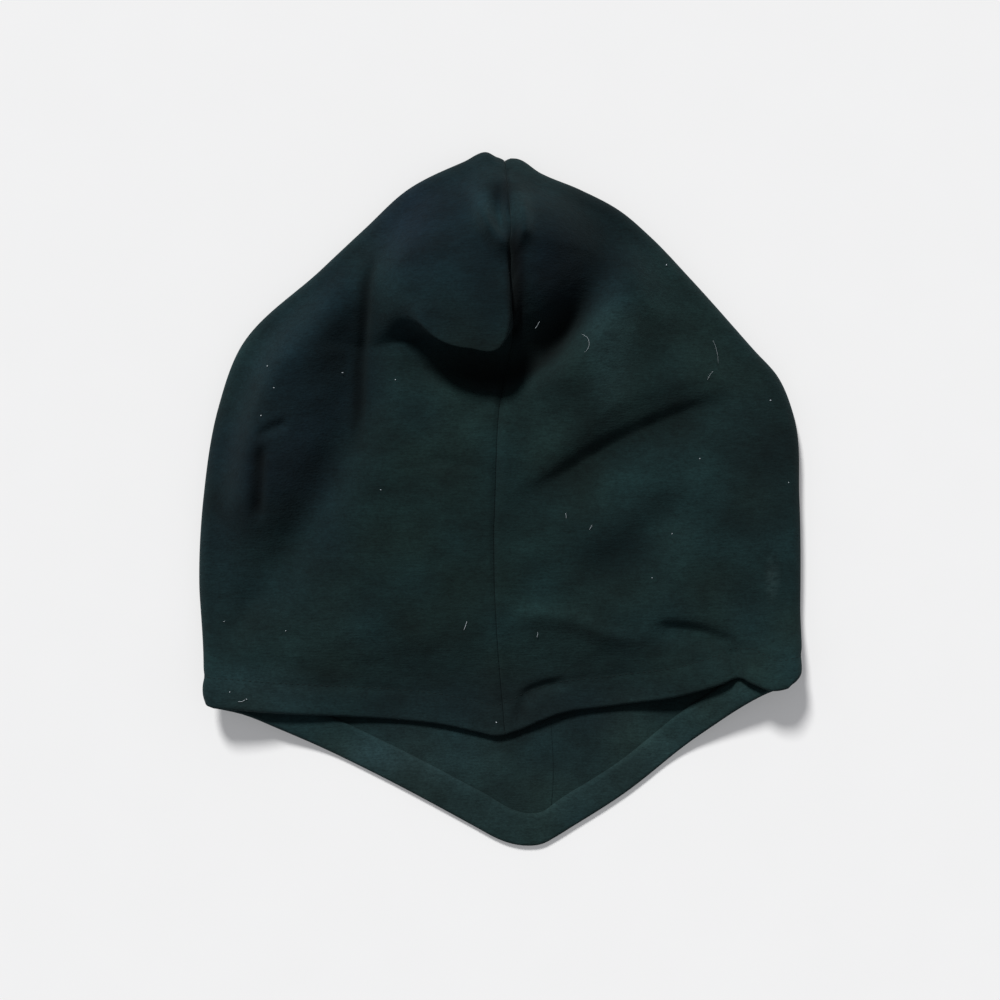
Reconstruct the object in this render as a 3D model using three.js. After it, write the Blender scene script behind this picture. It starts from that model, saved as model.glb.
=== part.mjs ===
// Hooded balaclava of brushed fleece, lying flat with the back of the head up and the bib down.
// Millimetres. +Z is up, +Y points to the peak of the hood and the bib points to -Y.
// The origin is on the ground, under the middle of the whole outline.

import * as THREE from "three";

// Cloth
const wall = 2.2;
const turnedPly = 1.8;
const gap = 0.4;

// Hems and seams
const hemWidth = 18;
const faceHemWidth = 12;
const seamAllowance = 6;

// Form of the flat hood: its side fold, which lies flatter at the hem, and how it fills out inland
const edgeRadius = 7;
const hemRadius = 5.2;
const flattenFromRow = 21;
const pillow = { height: 6, reach: 60, fromY: -108, toY: -58 };
const peakY = 187;
const peakDepth = 14;
const napeEndY = -130;
const bibEndY = -191;
const cornerLift = { left: 13, right: 15, fromX: 90, toX: 160, fromY: -55, toY: -110 };

// Level of the nape's hem above the ground, less the lift of the corners: it rests on the bib, rides
// over the chin seam and over the hem below it at both ends, and arches a little on the right
const napeLevel = [
  { x: -160, z: 10.4 }, { x: -125, z: 10.4 }, { x: -105, z: 10 }, { x: -88, z: 8.9 },
  { x: -72, z: 7.6 }, { x: -20, z: 7.6 }, { x: 6, z: 8.9 }, { x: 22, z: 9.8 }, { x: 38, z: 8.9 },
  { x: 62, z: 8.4 }, { x: 80, z: 11.2 }, { x: 95, z: 13 }, { x: 110, z: 11.8 }, { x: 126, z: 10.6 },
  { x: 160, z: 10.4 },
];
const napeLevelFade = { fromY: -70, toY: -106 };

// Face opening, on the underside: centre, half width and half height
const opening = { y: 50, halfWidth: 60, halfHeight: 70 };

// Outline seen from above, from the peak round the side fold to the corner of the hem
const outline = {
  left: [
    { x: 2.7, y: 187 }, { x: -6, y: 191 }, { x: -20, y: 185 }, { x: -51, y: 170 },
    { x: -74, y: 149 }, { x: -98, y: 126.5 }, { x: -143.5, y: 82 }, { x: -155, y: 50 },
    { x: -163, y: 2 }, { x: -165.5, y: -45 }, { x: -162, y: -96 }, { x: -162, y: -107 },
    { x: -160, y: -113.5 },
  ],
  right: [
    { x: 2.7, y: 187 }, { x: 9.5, y: 186.8 }, { x: 22, y: 179 }, { x: 44, y: 170 },
    { x: 66, y: 158.5 }, { x: 83, y: 144 }, { x: 104, y: 122 }, { x: 139.7, y: 82 },
    { x: 153, y: 67 }, { x: 161.8, y: 45 }, { x: 164.7, y: 0 }, { x: 165.3, y: -62 },
    { x: 164.9, y: -88 }, { x: 164, y: -96 }, { x: 160, y: -100.9 },
  ],
};

// Seams: the sideways place at each level
const backSeam = [
  { y: -130, x: 2.7 }, { y: -77, x: -1.5 }, { y: -33, x: -3.3 }, { y: 0, x: -2.7 },
  { y: 60, x: 1 }, { y: 84, x: 6.5 }, { y: 145, x: 6 }, { y: 187, x: 2.7 },
];
const frontSeam = [
  { y: -191, x: 21 }, { y: -163, x: 24 }, { y: -120, x: 22 }, { y: 0, x: 8 }, { y: 187, x: 2.7 },
];

// Hem edges: the level at each sideways place, over the nape and along the pointed bib
const napeEdge = [
  { x: -160, y: -113.5 }, { x: -110, y: -118 }, { x: -55, y: -121.3 }, { x: -33, y: -123.5 },
  { x: -11, y: -128 }, { x: -2, y: -129.8 }, { x: 6, y: -128 }, { x: 17, y: -123.5 },
  { x: 33, y: -117.5 }, { x: 60, y: -113.5 }, { x: 100, y: -107 }, { x: 118, y: -101.5 },
  { x: 130, y: -97.5 }, { x: 136, y: -100 }, { x: 146, y: -103.6 }, { x: 160, y: -100.9 },
];
const bibEdge = [
  { x: -160, y: -113.5 }, { x: -140, y: -117.5 }, { x: -121, y: -125.7 }, { x: -66, y: -152 },
  { x: -11, y: -181.6 }, { x: -3, y: -186 }, { x: 6, y: -189.6 }, { x: 15, y: -190.9 },
  { x: 23, y: -189.8 }, { x: 30, y: -186 }, { x: 38, y: -181 }, { x: 66, y: -163 },
  { x: 110, y: -128.4 }, { x: 145, y: -105.5 }, { x: 160, y: -100.9 },
];

// Grid rows: how far each section is along the outline, as a share, and along the back seam
const sections = {
  peak: { row: 0, outline: 0, back: peakY - peakDepth },
  openingTop: { row: 5, outline: 0.17, back: 130 },
  underCrown: { row: 14, outline: 0.45, back: 78 },
  middle: { row: 19, outline: 0.66, back: 18 },
  openingBottom: { row: 24, outline: 0.9, back: -78 },
  hemTop: { row: 28, outline: 1, back: napeEndY + hemWidth },
};
const openingTop = sections.openingTop.row;
const openingBottom = sections.openingBottom.row;
const hemTop = sections.hemTop.row;
const hemRows = 2;
const lastRow = hemTop + hemRows;
const columns = { back: 17, fold: 3, front: 5, ring: 2, crowding: 1.2 };
const mostAllowance = 0.3;
const hemNarrowing = 0.12;
const slopeStep = 4;

// The crown stands up as two lobes, one on each side of the seam, that lean over the cloth below.
// left, right, up and down are the distances to half the height, and soft the share of them over
// which it falls; tilt is the slope of the top
const lobes = [
  {
    name: "left lobe", x: -26, y: 120, height: 25, leanY: 18, tiltX: 0, tiltY: 0,
    left: 40, right: 34, up: 54, down: 28,
    softLeft: 0.6, softRight: 0.3, softUp: 0.75, softDown: 0.26,
  },
  {
    name: "right lobe", x: 16, y: 150, height: 30, leanY: 12, tiltX: -0.22, tiltY: 0.3,
    left: 30, right: 34, up: 36, down: 53,
    softLeft: 0.8, softRight: 0.6, softUp: 0.9, softDown: 0.55,
  },
];
const lobePower = 3.6;
const leanAcross = { x: -4, reach: 52 };

// Folds: a ridge or valley along a path, with its reach to the left and right of the path
const folds = [
  {
    name: "left shoulder", height: 17, left: 28, right: 16,
    path: [[-62, 158], [-98, 112], [-122, 72], [-135, 36], [-143, 0], [-149, -36]],
  },
  {
    name: "left valley", height: -9, left: 13, right: 15,
    path: [[-37, 173], [-59, 150], [-70, 129], [-75, 108], [-79, 79], [-79, 38], [-93, 10], [-131, -56]],
  },
  {
    name: "crease under the crown", height: -10, left: 12, right: 8,
    path: [[-66, 90], [-42, 78], [-18, 71], [4, 69], [22, 76], [37, 92], [50, 114], [56, 132]],
  },
  {
    name: "right ridge", height: 14, left: 24, right: 13,
    path: [[86, 162], [78, 138], [66, 106], [50, 82], [12, 52]],
  },
  {
    name: "ridge over the diagonal", height: 3.5, left: 8, right: 14,
    path: [[134, 72], [100, 66], [70, 56], [36, 32], [4, 10]],
  },
  {
    name: "diagonal valley", height: -5.5, left: 18, right: 6,
    path: [[134, 58], [101, 52], [75, 42], [50, 27], [33, 13], [4, -5]],
  },
  {
    name: "lower diagonal", height: -6.5, left: 16, right: 8,
    path: [[112, 8], [84, -15], [60, -32], [42, -58]],
  },
  {
    name: "fold by the right hem", height: -4.5, left: 6, right: 9,
    path: [[80, -70], [104, -72], [121, -77], [134, -85]],
  },
  {
    name: "pale ridge", height: 2.6, left: 6, right: 6,
    path: [[-2, -67], [25, -63.5], [40, -66], [56, -73], [84, -80]],
  },
  {
    name: "left crease", height: -4, left: 5, right: 5,
    path: [[-119, 46], [-132, 36], [-132.5, 18], [-134, -6]],
  },
];
const foldFade = 0.25;

// Smooth curve through a table: cubic pieces whose slopes come from the neighbouring rows
function curve(knots, values) {
  const last = knots.length - 1;
  const slope = (i) => (values[i + 1] - values[i]) / (knots[i + 1] - knots[i]);
  const slopes = knots.map((_, i) => {
    if (i === 0) return slope(0);
    if (i === last) return slope(last - 1);
    const before = knots[i] - knots[i - 1];
    const after = knots[i + 1] - knots[i];
    return (slope(i - 1) * after + slope(i) * before) / (before + after);
  });
  return (at) => {
    const above = knots.findIndex((knot) => knot > at);
    const next = above < 0 ? last : Math.max(1, above);
    const i = next - 1;
    const span = knots[next] - knots[i];
    const t = THREE.MathUtils.clamp((at - knots[i]) / span, 0, 1);
    const u = 1 - t;
    return u * u * (1 + 2 * t) * values[i] + u * u * t * span * slopes[i]
      + t * t * (3 - 2 * t) * values[next] - t * t * u * span * slopes[next];
  };
}

// Smooth path through points, measured by the length of its chords
function path(points) {
  const lengths = [0];
  for (let i = 1; i < points.length; i += 1) {
    const step = Math.hypot(points[i].x - points[i - 1].x, points[i].y - points[i - 1].y);
    lengths.push(lengths[i - 1] + step);
  }
  const x = curve(lengths, points.map((point) => point.x));
  const y = curve(lengths, points.map((point) => point.y));
  return { length: lengths.at(-1), at: (s) => new THREE.Vector2(x(s), y(s)) };
}

const byY = (table) => curve(table.map((row) => row.y), table.map((row) => row.x));
const byX = (table) => curve(table.map((row) => row.x), table.map((row) => row.y));
const byRow = (key) => {
  const rows = Object.values(sections);
  return curve(rows.map((section) => section.row), rows.map((section) => section[key]));
};
const ease = (from, to, value) => THREE.MathUtils.smoothstep((value - from) / (to - from), 0, 1);
const mix = THREE.MathUtils.lerp;

const backSeamX = byY(backSeam);
const frontSeamX = byY(frontSeam);
const napeY = byX(napeEdge);
const bibY = byX(bibEdge);
const napeZ = curve(napeLevel.map((row) => row.x), napeLevel.map((row) => row.z));
const outlineShare = byRow("outline");
const backLevel = byRow("back");

// Points at even steps along a path
function stepped(line, steps) {
  const points = [];
  for (let i = 0; i <= steps; i += 1) points.push(line.at((line.length * i) / steps));
  return points;
}

const foldSteps = 16;
const outlineSteps = 48;
const foldLines = folds.map((fold) => {
  const line = path(fold.path.map(([x, y]) => ({ x, y })));
  return { ...fold, points: stepped(line, foldSteps) };
});
const outlineLines = Object.values(outline).map((side) => stepped(path(side), outlineSteps));

// Nearest place of a line of points: how far it is, how far along the line, and on which side
function nearestOn(points, x, y) {
  const nearest = { distance: Infinity, side: 1, along: 0 };
  const steps = points.length - 1;
  for (let i = 0; i < steps; i += 1) {
    const a = points[i];
    const b = points[i + 1];
    const dx = b.x - a.x;
    const dy = b.y - a.y;
    const t = THREE.MathUtils.clamp(((x - a.x) * dx + (y - a.y) * dy) / (dx * dx + dy * dy), 0, 1);
    const px = x - a.x - t * dx;
    const py = y - a.y - t * dy;
    const distance = Math.hypot(px, py);
    if (distance < nearest.distance) {
      nearest.distance = distance;
      nearest.side = dx * py - dy * px;
      nearest.along = (i + t) / steps;
    }
  }
  return nearest;
}

// Height of one fold at a place: a bell across its path that fades out at both ends
function foldHeight(fold, x, y) {
  const { distance, side, along } = nearestOn(fold.points, x, y);
  const reach = side > 0 ? fold.left : fold.right;
  const bell = Math.exp(-((distance / reach) ** 2));
  return fold.height * bell * ease(0, foldFade, along) * ease(1, 1 - foldFade, along);
}

// Share of a lobe at a place: 1 inside a rounded shape, falling over its own width on each side
function lobeShare(lobe, x, y) {
  const dx = x - lobe.x;
  const dy = y - lobe.y;
  const across = Math.abs(dx / (dx < 0 ? lobe.left : lobe.right)) ** lobePower;
  const along = Math.abs(dy / (dy > 0 ? lobe.up : lobe.down)) ** lobePower;
  const sum = across + along;
  if (sum === 0) return 1;
  const softX = dx < 0 ? lobe.softLeft : lobe.softRight;
  const softY = dy > 0 ? lobe.softUp : lobe.softDown;
  const soft = mix(softY, softX, across / sum);
  return 1 - ease(1 - soft, 1 + soft, sum ** (1 / lobePower));
}

const liftAt = (x, y) => (x < 0 ? cornerLift.left : cornerLift.right)
  * ease(cornerLift.fromX, cornerLift.toX, Math.abs(x))
  * ease(cornerLift.fromY, cornerLift.toY, y);

// Outer face of the back layer; angle is the turn into the side fold. Folds and lobes grow with the
// distance in from the outline, and a lobe stands where those before it in the list don't
function backPoint(x, y, radius, angle) {
  const edge = Math.min(...outlineLines.map((line) => nearestOn(line, x, y).distance));
  const inland = ease(0, pillow.reach / 2, edge);
  let z = radius * (1 + Math.cos(angle)) + liftAt(x, y);
  z += pillow.height * ease(0, pillow.reach, edge) * ease(pillow.fromY, pillow.toY, y);
  z += (napeZ(x) - 2 * hemRadius) * ease(napeLevelFade.fromY, napeLevelFade.toY, y) * inland;
  for (const fold of foldLines) z += foldHeight(fold, x, y) * inland;
  let free = inland;
  let standing = 0;
  let lean = 0;
  for (const lobe of lobes) {
    const share = lobeShare(lobe, x, y) * free;
    const top = lobe.height + lobe.tiltX * (x - lobe.x) + lobe.tiltY * (y - lobe.y);
    z += Math.max(top, 0) * share;
    standing += share;
    lean += lobe.leanY * share;
    free -= share;
  }
  lean *= standing * Math.exp(-(((x - leanAcross.x) / leanAcross.reach) ** 4));
  return new THREE.Vector3(x, y - lean, z);
}

// Outer face of the front layer, which lies on the ground
function frontPoint(x, y, radius, angle) {
  return new THREE.Vector3(x, y, radius * (1 - Math.cos(angle)) + liftAt(x, y));
}

// Edge of the front layer at a grid row: the front seam, broken by the round of the face opening
function frontEdge(row, sign, grow) {
  const seam = (y) => new THREE.Vector2(frontSeamX(y) + (sign * gap) / 2, y);
  const top = opening.y + opening.halfHeight + faceHemWidth;
  const bottom = opening.y - opening.halfHeight - faceHemWidth;
  const bandTop = bibY(frontSeamX(bibEndY)) + hemWidth;
  if (row < openingTop) return seam(mix(backLevel(0), top, row / openingTop));
  if (row > hemTop) return seam(mix(bandTop, bandTop - hemWidth, (row - hemTop) / hemRows));
  if (row > openingBottom) {
    return seam(mix(bottom, bandTop, (row - openingBottom) / (hemTop - openingBottom)));
  }
  const turn = (Math.PI * (row - openingTop)) / (openingBottom - openingTop);
  const point = seam(opening.y + (opening.halfHeight + grow) * Math.cos(turn));
  point.x += sign * (opening.halfWidth + grow) * Math.sin(turn);
  return point;
}

// Shares of a row from its seam, at 0, to the start of the side fold, at 1
function spread(length, count) {
  const first = Math.min(seamAllowance, mostAllowance * length);
  const shares = [0];
  for (let i = 0; i < count; i += 1) {
    shares.push(mix(first, length, (i / (count - 1)) ** columns.crowding) / length);
  }
  return shares;
}

// One grid row: from the back seam over the side fold and under to the front seam or face opening
function rowPoints(side, row) {
  const sign = side === "left" ? -1 : 1;
  const edge = path(outline[side]);
  const above = Math.min(row, hemTop);
  const inBand = Math.max(0, row - hemTop) / hemRows;
  const far = edge.at(mix(outlineShare(above) * (edge.length - hemWidth), edge.length, inBand));
  far.x += (sign * gap) / 2;
  const level = mix(backLevel(above), napeEndY, inBand);
  const near = new THREE.Vector2(backSeamX(level) + (sign * gap) / 2, level);
  const under = frontEdge(row, sign, faceHemWidth);
  const corner = edge.at(edge.length);
  const pull = ease(hemTop / 2, hemTop, row);

  // Rows bend into the hem edge near the neck, and a slanting hem is as wide as a level one
  const place = (from, share, hem, seamEnd) => {
    const point = from.clone().lerp(far, share);
    const x = mix(seamEnd.x, corner.x, share);
    const slope = (hem(x + slopeStep) - hem(x - slopeStep)) / (2 * slopeStep);
    const wider = hemWidth * (Math.hypot(1, slope) - 1) * ease(1, 1 - hemNarrowing, share);
    point.y += pull * (hem(x) - mix(seamEnd.y, corner.y, share) + wider * (1 - inBand));
    return point;
  };
  const backEnd = new THREE.Vector2(backSeamX(napeEndY), napeY(backSeamX(napeEndY)));
  const frontEnd = frontEdge(lastRow, sign, 0);
  const backLength = near.distanceTo(far);
  const frontLength = under.distanceTo(far);
  const foldRadius = mix(edgeRadius, hemRadius, ease(flattenFromRow, hemTop, row));
  const radius = Math.min(foldRadius, backLength / 2, frontLength / 2);

  const points = [];
  for (const share of spread(backLength - radius, columns.back)) {
    const reached = (share * (backLength - radius)) / backLength;
    const point = place(near, reached, napeY, backEnd);
    points.push(backPoint(point.x, point.y, radius, 0));
  }
  for (let i = 1; i <= columns.fold; i += 1) {
    const angle = (Math.PI / 2) * (i / columns.fold);
    const inset = radius * (1 - Math.sin(angle));
    const point = place(near, 1 - inset / backLength, napeY, backEnd);
    points.push(backPoint(point.x, point.y, radius, angle));
  }
  for (let i = columns.fold - 1; i >= 0; i -= 1) {
    const angle = (Math.PI / 2) * (i / columns.fold);
    const inset = radius * (1 - Math.sin(angle));
    const point = place(under, 1 - inset / frontLength, bibY, frontEnd);
    points.push(frontPoint(point.x, point.y, radius, angle));
  }
  for (const share of spread(frontLength - radius, columns.front).reverse().slice(1)) {
    const reached = (share * (frontLength - radius)) / frontLength;
    const point = place(under, reached, bibY, frontEnd);
    points.push(frontPoint(point.x, point.y, radius, 0));
  }
  if (row >= openingTop && row <= openingBottom) {
    for (let i = 1; i <= columns.ring; i += 1) {
      const point = frontEdge(row, sign, faceHemWidth * (1 - i / columns.ring));
      points.push(frontPoint(point.x, point.y, radius, 0));
    }
  }
  return points;
}

const mainColumns = columns.back + 1 + 2 * columns.fold + columns.front;
const foldColumn = columns.back + columns.fold;

// Half of the hood: a grid of vertices, each a place on the outer face and the normal there
function makeHalf(side) {
  const grid = [];
  for (let row = 0; row <= lastRow; row += 1) {
    grid.push(rowPoints(side, row).map((point) => ({ point, normal: new THREE.Vector3() })));
  }
  return { side, grid };
}

// Both halves meet along the seam at one level, the seam gap apart
function meet(a, b) {
  const middle = a.point.clone().lerp(b.point, 0.5);
  a.point.set(middle.x - gap / 2, middle.y, middle.z);
  b.point.set(middle.x + gap / 2, middle.y, middle.z);
}

// Cells of a half and, at each vertex, the mean normal of the cells round it
function addNormals(half) {
  half.quads = cells(half, 0, lastRow, 0, mainColumns + columns.ring);
  for (const quad of half.quads) {
    const across = quad[2].point.clone().sub(quad[0].point);
    const along = quad[3].point.clone().sub(quad[1].point);
    const face = across.cross(along);
    for (const vertex of quad) vertex.normal.add(face);
  }
  for (const vertex of half.grid.flat()) vertex.normal.normalize();
}

// Cells of the grid between two rows and two columns, as quads that face out
function cells(half, fromRow, toRow, fromColumn, toColumn) {
  const quads = [];
  for (let row = fromRow; row < toRow; row += 1) {
    const upper = half.grid[row];
    const lower = half.grid[row + 1];
    const end = Math.min(toColumn, upper.length - 1, lower.length - 1);
    for (let column = fromColumn; column < end; column += 1) {
      const quad = [upper[column], lower[column], lower[column + 1], upper[column + 1]];
      quads.push(turned(half.side, column, quad));
    }
  }
  return quads;
}

// The first corner of a quad is one end of its diagonal; the two halves of the hood are mirrored
function turned(side, column, quad) {
  const start = column < foldColumn ? quad : [...quad.slice(1), quad[0]];
  return side === "right" ? start : [start[0], start[3], start[2], start[1]];
}

// Quads that bridge the seam gap between the two halves, along one column
function bridge(column, fromRow, toRow) {
  const quads = [];
  for (let row = fromRow; row < toRow; row += 1) {
    const quad = [
      left.grid[row][column], right.grid[row][column],
      right.grid[row + 1][column], left.grid[row + 1][column],
    ];
    quads.push(column < foldColumn ? quad.reverse() : quad);
  }
  return quads;
}

// Quads that bridge the seam gap between the two halves, along the first or last row of a set
function bridgeRow(row, fromColumn, toColumn, isFirst) {
  const quads = [];
  for (let column = fromColumn; column < toColumn; column += 1) {
    const quad = [
      left.grid[row][column], left.grid[row][column + 1],
      right.grid[row][column + 1], right.grid[row][column],
    ];
    quads.push(isFirst ? quad.reverse() : quad);
  }
  return quads;
}

// Closed solid between two depths under the outer face, over a set of quads
function solid(quads, fromDepth, toDepth) {
  const ids = new Map();
  const used = [];
  for (const vertex of quads.flat()) {
    if (ids.has(vertex)) continue;
    ids.set(vertex, used.length);
    used.push(vertex);
  }
  const positions = [];
  for (const depth of [fromDepth, toDepth]) {
    for (const { point, normal } of used) {
      positions.push(...point.clone().addScaledVector(normal, -depth));
    }
  }
  const index = [];
  const edges = new Map();
  const inner = used.length;
  for (const quad of quads) {
    const [a, b, c, d] = quad.map((vertex) => ids.get(vertex));
    index.push(a, b, c, a, c, d);
    index.push(inner + a, inner + c, inner + b, inner + a, inner + d, inner + c);
    for (const [from, to] of [[a, b], [b, c], [c, d], [d, a]]) {
      if (!edges.delete(`${to} ${from}`)) edges.set(`${from} ${to}`, [from, to]);
    }
  }
  for (const [from, to] of edges.values()) {
    index.push(from, inner + from, inner + to, from, inner + to, to);
  }
  const geometry = new THREE.BufferGeometry();
  geometry.setAttribute("position", new THREE.Float32BufferAttribute(positions, 3));
  geometry.setIndex(index);
  geometry.computeVertexNormals();
  return geometry;
}

// The same quads with part of one row drawn back towards another row, to clear a neighbour
const drawBy = 1.2 * gap;
function drawnBack(quads, row, towards, fromColumn) {
  const moved = new Map();
  for (const half of [left, right]) {
    for (const column of [fromColumn, fromColumn + 1]) {
      const vertex = half.grid[row][column];
      const other = half.grid[towards][column];
      const share = drawBy / vertex.point.distanceTo(other.point);
      moved.set(vertex, {
        point: vertex.point.clone().lerp(other.point, share),
        normal: vertex.normal.clone().lerp(other.normal, share).normalize(),
      });
    }
  }
  return quads.map((quad) => quad.map((vertex) => moved.get(vertex) ?? vertex));
}

const left = makeHalf("left");
const right = makeHalf("right");
const frontColumn = mainColumns - 1;
left.grid.forEach((row, r) => meet(row[0], right.grid[r][0]));
for (let column = 1; column < frontColumn; column += 1) {
  meet(left.grid[0][column], right.grid[0][column]);
}
addNormals(left);
addNormals(right);

// Both halves share one normal along the seams, so that their walls don't cross there
function shareNormals(a, b) {
  a.normal.add(b.normal).normalize();
  b.normal.copy(a.normal);
}
left.grid.forEach((row, r) => shareNormals(row[0], right.grid[r][0]));
left.grid.forEach((row, r) => {
  if (r <= openingTop || r >= openingBottom) shareNormals(row[frontColumn], right.grid[r][frontColumn]);
});
for (let column = 1; column < frontColumn; column += 1) {
  shareNormals(left.grid[0][column], right.grid[0][column]);
}
for (const row of [openingTop, openingBottom]) {
  for (let column = mainColumns; column < mainColumns + columns.ring; column += 1) {
    shareNormals(left.grid[row][column], right.grid[row][column]);
  }
}

const both = (...range) => [...cells(left, ...range), ...cells(right, ...range)];

// Seam allowance along the centre: up the back, over the peak and down to the face opening
function crownSeam() {
  const quads = [
    ...both(1, hemTop, 0, 1), ...both(0, 1, 0, frontColumn),
    ...both(1, openingTop, frontColumn - 1, frontColumn),
    ...bridge(0, 0, hemTop), ...bridgeRow(0, 0, frontColumn, true), ...bridge(frontColumn, 0, openingTop),
  ];
  const clearOfHem = drawnBack(quads, hemTop, hemTop - 1, 0);
  return drawnBack(clearOfHem, openingTop, openingTop - 1, frontColumn - 1);
}

// Seam allowance of the front, from the face opening to the point of the bib
function chinSeam() {
  const quads = [
    ...both(openingBottom, hemTop, frontColumn - 1, frontColumn),
    ...bridge(frontColumn, openingBottom, hemTop),
  ];
  const clearOfHem = drawnBack(quads, hemTop, hemTop - 1, frontColumn - 1);
  return drawnBack(clearOfHem, openingBottom, openingBottom + 1, frontColumn - 1);
}

// Hem turned up all round the neck, over the nape, round both side folds and along the bib
function neckHem() {
  return [
    ...both(hemTop, lastRow, 0, frontColumn),
    ...bridge(0, hemTop, lastRow), ...bridge(frontColumn, hemTop, lastRow),
  ];
}

// Hem turned in round the face opening
function faceHem() {
  const end = mainColumns - 1 + columns.ring;
  return [
    ...both(openingTop, openingBottom, frontColumn, end),
    ...bridgeRow(openingTop, frontColumn, end, true), ...bridgeRow(openingBottom, frontColumn, end, false),
  ];
}

const fleece = { color: 0x1a2929, roughness: 0.95, metalness: 0 };
const turnedFleece = { color: 0x1f3032, roughness: 0.95, metalness: 0 };

function piece(name, geometry, finish) {
  const mesh = new THREE.Mesh(geometry, new THREE.MeshStandardMaterial(finish));
  mesh.name = name;
  return mesh;
}

const turnedFrom = wall + gap;
const turnedTo = wall + gap + turnedPly;
const balaclava = new THREE.Group();
balaclava.add(
  piece("left_panel", solid(left.quads, 0, wall), fleece),
  piece("right_panel", solid(right.quads, 0, wall), fleece),
  piece("crown_seam", solid(crownSeam(), turnedFrom, turnedTo), turnedFleece),
  piece("chin_seam", solid(chinSeam(), turnedFrom, turnedTo), turnedFleece),
  piece("neck_hem", solid(neckHem(), turnedFrom, turnedTo), turnedFleece),
  piece("face_hem", solid(faceHem(), turnedFrom, turnedTo), turnedFleece),
);

export default balaclava;
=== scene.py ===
import math
import bpy
import numpy as np
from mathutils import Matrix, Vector


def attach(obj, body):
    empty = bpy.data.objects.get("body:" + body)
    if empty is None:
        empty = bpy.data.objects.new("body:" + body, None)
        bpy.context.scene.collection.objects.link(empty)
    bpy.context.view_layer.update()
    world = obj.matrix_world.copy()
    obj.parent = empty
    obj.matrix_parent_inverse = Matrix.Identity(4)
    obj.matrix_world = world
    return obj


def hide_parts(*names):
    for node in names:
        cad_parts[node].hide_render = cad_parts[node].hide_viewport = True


# Hooded balaclava of brushed fleece, lying flat with the back of the head up and the bib down.
# Tables and sizes are in millimetres, +Z up and the peak towards +Y; meshes are made in metres.

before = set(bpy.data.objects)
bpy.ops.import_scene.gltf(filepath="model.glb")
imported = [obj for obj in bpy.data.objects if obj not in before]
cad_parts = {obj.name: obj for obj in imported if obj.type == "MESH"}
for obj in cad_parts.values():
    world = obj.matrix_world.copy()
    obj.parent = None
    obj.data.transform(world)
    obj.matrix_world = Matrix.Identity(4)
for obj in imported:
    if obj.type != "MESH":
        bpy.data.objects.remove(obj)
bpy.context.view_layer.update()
mm = 0.001

cloth = {
    "wall": 1.9,            # brushed fleece
    "ply": 1.5,             # a turned-in ply, pressed a little thinner
    "gap": 0.3,             # air between two plies
    "seamGap": 0.16,        # the two halves meet closer than that at a seam
    "hem": 18.0,            # hem round the neck
    "faceHem": 12.0,        # hem round the face opening
    "allowance": 6.0,       # seam allowance on each side of a seam
}
turnedFrom = cloth["wall"] + cloth["gap"]
turnedTo = turnedFrom + cloth["ply"]
hemFold = turnedTo / 2      # radius of the round edge that a hem makes
cutEdge = {"seam": 0.97, "hem": 0.95, "hemRows": 4}     # share of the quarter ellipse at a cut edge

# Form of the flat hood
form = {
    "edgeRadius": 7.0,      # side fold of the hood
    "hemRadius": 5.2,       # and at the hem, where it lies flatter
    "flattenFrom": 21.0,    # row from which it does so
    "pillowHeight": 6.0,
    "pillowReach": 60.0,
    "pillowY": (-108.0, -58.0),
    "napeEndY": -130.0,
    "bibEndY": -191.0,
    "cornerLift": {"left": 13.0, "right": 16.0},   # the corners of the hem stand off the ground
    "cornerX": (85.0, 160.0),
    "cornerY": (-55.0, -110.0),
    "slopeStep": 4.0,       # the slant of a hem is measured so far to both sides
    "slantUpTo": 0.88,      # share of a row from which a slanting hem is widened less and less
}

# Level of the nape's hem above the ground, less the lift of the corners: it rests on the bib, rides
# over the chin seam and over the hem below it at both ends, and arches a little on the right
napeLevel = {
    "x": (-160, -125, -105, -88, -72, -20, 6, 22, 38, 62, 80, 95, 110, 126, 160),
    "z": (10.4, 10.4, 9.4, 7.8, 6.4, 6.2, 6.8, 7.6, 6.8, 6.6, 8.6, 12, 11.4, 10.6, 10.4),
}
napeLevelY = (-70.0, -106.0)

opening = {"y": 50.0, "halfWidth": 60.0, "halfHeight": 70.0}   # face opening, on the underside

# Outline seen from above, from the peak round the side fold to the corner of the hem
outline = {
    "left": {
        "x": (2.7, -1, -7, -20, -51, -74, -98, -143.5, -155, -163, -165.5, -162, -162, -160),
        "y": (187.5, 187.9, 190.8, 185.5, 170, 149, 126.5, 82, 50, 2, -45, -96, -107, -113.5),
    },
    "right": {
        "x": (2.7, 9.5, 22, 44, 66, 83, 104, 139.7, 153, 161.8, 164.7, 165.3, 164.9, 164, 160),
        "y": (187.5, 187.2, 179.5, 170.2, 158.5, 144, 122, 82, 67, 45, 0, -62, -88, -96, -100.9),
    },
}
backSeam = {
    "y": (-130, -77, -33, 0, 60, 84, 145, 187.5),
    "x": (2.7, -1.5, -3.3, -2.7, 1, 6.5, 6, 2.7),
}
frontSeam = {
    "y": (-191, -163, -120, 0, 187.5),
    "x": (21, 24, 22, 8, 2.7),
}
napeEdge = {
    "x": (-160, -110, -55, -33, -11, -2, 6, 17, 33, 60, 100, 118, 130, 136, 146, 160),
    "y": (-113.5, -118, -121.3, -123.5, -128, -129.8, -128, -123.5, -117.5, -113.5, -107,
          -101.5, -97.5, -100, -103.6, -100.9),
}
bibEdge = {
    "x": (-160, -140, -121, -66, -11, -3, 6, 15, 23, 30, 38, 66, 110, 145, 160),
    "y": (-113.5, -118.3, -126.7, -153, -182.6, -187, -190.4, -191.6, -190.6, -187, -182, -164, -129.4,
          -106.3, -100.9),
}

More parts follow.
